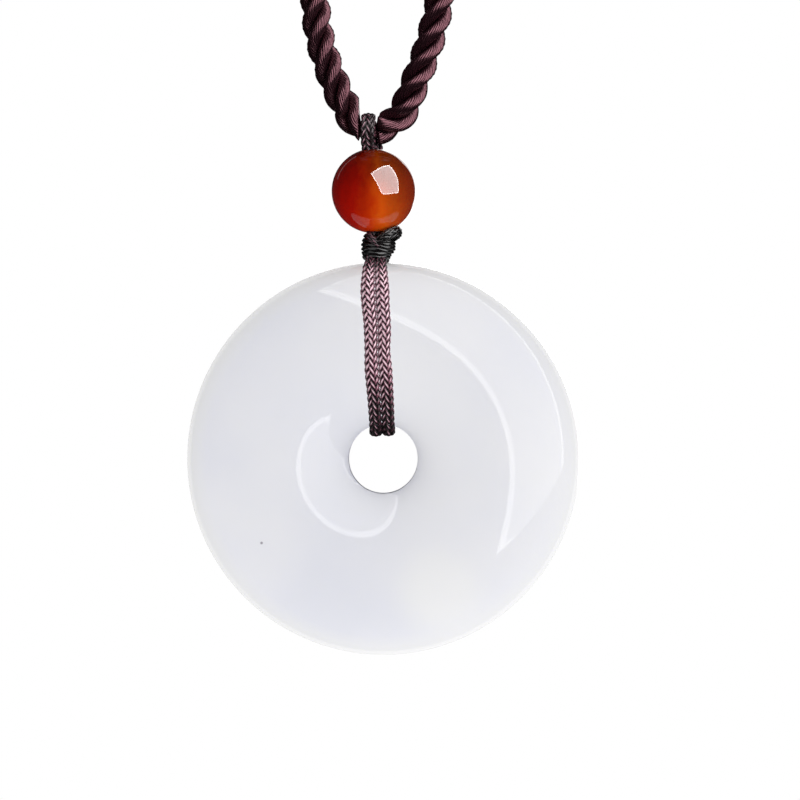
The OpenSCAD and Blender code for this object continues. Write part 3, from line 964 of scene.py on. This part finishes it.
# Half the knot's width and its shift to the right, by height, and its depth as a share of its width
KNOT_LEVELS = (-15.6, -14.9, -14.2, -13.5, -12.9, -12.3)
KNOT_HALVES = (1.5, 1.74, 2.04, 2.08, 1.95, 1.7)
KNOT_SHIFTS = (0, 0.05, 0.28, 0.34, 0.36, 0.36)
KNOT_DEPTH = 0.9
# Heights of the core's rings, each with its share of the knot's width
KNOT_CORE = ((-15.25, 0.55), (-15.1, 0.8), (-14.9, 0.9), (-14.5, 1), (-14.2, 1), (-13.5, 1),
             (-12.9, 1), (-12.5, 0.9), (-12.35, 0.6))
KNOT_CORE_ROUND = 8
# The bight at the upper right and the end of the bead's cord: points and scale
KNOT_BIGHT = ((-0.1, -1.2, -13.6, 0.8), (0.5, -1.75, -13.1, 0.8), (1.4, -1.95, -12.55, 0.85),
              (2.3, -1.35, -12.2, 0.85), (2.72, -0.3, -12.2, 0.85), (2.3, 0.8, -12.55, 0.8),
              (1.3, 1.3, -13.0, 0.75), (0.4, 1.0, -13.5, 0.75))
CORD_END = ((-0.6, -0.3, -11.9, 0.6), (-0.8, -1.0, -12.3, 0.6), (-0.7, -1.5, -12.7, 0.6),
            (-0.25, -1.8, -13.1, 0.6), (0.25, -1.75, -13.5, 0.55), (0.7, -1.35, -13.9, 0.5))


def knot_half(z):
    """Half the knot's width and its shift to the right at a height."""
    return np.interp(z, KNOT_LEVELS, KNOT_HALVES), np.interp(z, KNOT_LEVELS, KNOT_SHIFTS)


def knot_winding():
    """Turns of thread round the core, which slant less and less towards the bottom."""
    points = []
    for step in range(KNOT_TURNS * KNOT_STEPS + 1):
        share = step / (KNOT_TURNS * KNOT_STEPS)
        a = 2 * math.pi * KNOT_TURNS * share
        slant = SLANT_TOP + (SLANT_END - SLANT_TOP) * share
        z = KNOT_TOP - WIND_DROP - WIND_H * share - slant * math.cos(a)
        half, shift = knot_half(z)
        half -= KNOT_THREAD_R
        points.append((shift + half * math.cos(a), -KNOT_DEPTH * half * math.sin(a), z))
    route = smooth_route([points[0], *points, points[-1]], KNOT_ROUTE_GAP)
    stations, along = even(route, KNOT_GAP)
    centre = hung(stations)
    side, up = steady_frames(centre, (0, 0, 1))[1:]
    turn = np.arange(KNOT_SIDES) * 2 * math.pi / KNOT_SIDES
    reach = KNOT_THREAD_R * (1 + PLY_RISE * np.cos(PLIES * turn - along[:, None] * PLY_TURN))
    rings = ring_points(centre, side, up, reach * np.cos(turn), reach * np.sin(turn))
    return rings, along, 2 * math.pi * KNOT_THREAD_R


def knot_core():
    """What the thread is wound on. The turns lie a little sunk in it."""
    spin = np.arange(CORE_SIDES) * 2 * math.pi / CORE_SIDES
    rings = []
    for z, share in KNOT_CORE:
        half, shift = knot_half(z)
        half = share * (half - 1.5 * KNOT_THREAD_R)
        rings.append(hung(np.stack([shift + half * np.cos(spin),
                                    KNOT_DEPTH * half * np.sin(spin), 0 * spin + z], -1)))
    levels = np.array(KNOT_CORE)[:, 0]
    return np.array(rings), levels - levels[0], KNOT_CORE_ROUND


def knot(nylon):
    """Slanted turns of thread, a bight of braid, and the end of the bead's cord where it goes in."""
    # Almost black all through, with the braid's painted shade in its dips
    glossy = braided_nylon("tight_black_nylon", ("#010001", "#060304", "#0c0607", "#170c0f"),
                           "#ffffff", 0.08, 0.24)
    tubes("knot_turns", [knot_winding(), knot_core()], glossy, "hanger",
          ["hanging_knot"])
    for name, rows, half_t, finish, slot in (
            ("knot_bight", KNOT_BIGHT, 0.62, glossy, "knot_cord"),
            ("knot_strand", CORD_END, 0.5, nylon, "braided_cord")):
        route = smooth_route([rows[0], *rows, rows[-1]])
        route[:, :3] = hung(route[:, :3])
        parts = braid(route, CORD_W / 2, half_t, HANG_UP, KNOT_START)
        tubes(name, parts, finish, "hanger", ["hanging_knot"])


# Stones

# A thousandth of a millimetre, in metres, to tell places apart
HAIR = 0.001 * MM


def deselect():
    bpy.ops.object.select_all(action="DESELECT")


def pick(obj, choose):
    """Selects the vertices for which choose is true, in edit mode."""
    bpy.ops.mesh.select_mode(type="VERT")
    bpy.ops.mesh.select_all(action="DESELECT")
    shape = bmesh.from_edit_mesh(obj.data)
    for vertex in shape.verts:
        vertex.select = bool(choose(vertex.co))
    shape.select_flush_mode()
    bmesh.update_edit_mesh(obj.data)


def turned(obj, steps, centre, axis):
    """Spins the section a whole turn round the axis and closes it."""
    bpy.ops.mesh.select_all(action="SELECT")
    bpy.ops.mesh.spin(steps=steps, angle=2 * math.pi, center=centre, axis=axis)
    bpy.ops.mesh.select_all(action="SELECT")
    bpy.ops.mesh.remove_doubles(threshold=2 * HAIR)
    bpy.ops.mesh.normals_make_consistent(inside=False)
    bpy.ops.object.mode_set(mode="OBJECT")
    obj.data.shade_smooth()


def placed_in_mesh(obj):
    """Puts the object's place into its mesh."""
    deselect()
    obj.select_set(True)
    bpy.context.view_layer.objects.active = obj
    bpy.ops.object.transform_apply(location=True, rotation=True, scale=True)


def jade_disc():
    """The disc's section, an oval on each side of its crest, is cut by the hole and turned."""
    at = metres(DISC_AT)
    half_t = DISC_T / 2 * MM
    crest = Vector((CREST_D / 2 * MM, 0, 0)) + at
    outer = (DISC_D - CREST_D) / 2 * MM
    inner = (CREST_D - HOLE_D) / 2 * MM / math.sqrt(1 - (HOLE_WALL / DISC_T) ** 2)
    deselect()
    bpy.ops.mesh.primitive_circle_add(vertices=160, radius=half_t, location=crest)
    disc = bpy.context.object
    disc.name = "disc"
    placed_in_mesh(disc)
    bpy.ops.object.mode_set(mode="EDIT")
    pick(disc, lambda spot: spot.x > crest.x + HAIR)
    bpy.ops.transform.resize(value=(outer / half_t, 1, 1), center_override=crest)
    pick(disc, lambda spot: spot.x < crest.x - HAIR)
    bpy.ops.transform.resize(value=(inner / half_t, 1, 1), center_override=crest)
    bpy.ops.mesh.select_all(action="SELECT")
    hole_x = at.x + HOLE_D / 2 * MM
    bpy.ops.mesh.bisect(plane_co=(hole_x, 0, 0), plane_no=(1, 0, 0), clear_inner=True)
    pick(disc, lambda spot: spot.x < hole_x + HAIR)
    bpy.ops.mesh.edge_face_add()
    bpy.ops.mesh.bevel(offset=HOLE_BEVEL * MM, segments=6, affect="VERTICES")
    turned(disc, 192, at, (0, 1, 0))
    disc.data.materials.append(milky_chalcedony())
    belongs(disc, "disc", ["jade_disc"])


def carnelian_bead():
    """The bead's section, a round cut by the hole, is turned round the hole's axis."""
    at = metres(hung([0, 0, BEAD_Z]))
    across = Vector(HANG_ACROSS)
    deselect()
    bpy.ops.mesh.primitive_circle_add(vertices=128, radius=BEAD_D / 2 * MM, location=at,
                                      rotation=(math.pi / 2, 0, 0))
    bead = bpy.context.object
    bead.name = "bead"
    placed_in_mesh(bead)
    bpy.ops.object.mode_set(mode="EDIT")
    bpy.ops.mesh.select_all(action="SELECT")
    wall = at + across * BORE_R * MM
    bpy.ops.mesh.bisect(plane_co=wall, plane_no=across, clear_inner=True)
    pick(bead, lambda spot: (spot - wall).dot(across) < HAIR)
    bpy.ops.mesh.edge_face_add()
    bpy.ops.mesh.bevel(offset=BEAD_BEVEL * MM, segments=5, affect="VERTICES")
    turned(bead, 128, at, Vector(HANG_UP))
    bead.data.materials.append(polished_carnelian())
    belongs(bead, "hanger", ["carnelian_bead"])


photo_camera()
rope_strands()
rope_binding()
cord_nylon = disc_cords()
bead_cord(cord_nylon)
knot(cord_nylon)
jade_disc()
carnelian_bead()
deselect()
floor()
studio()
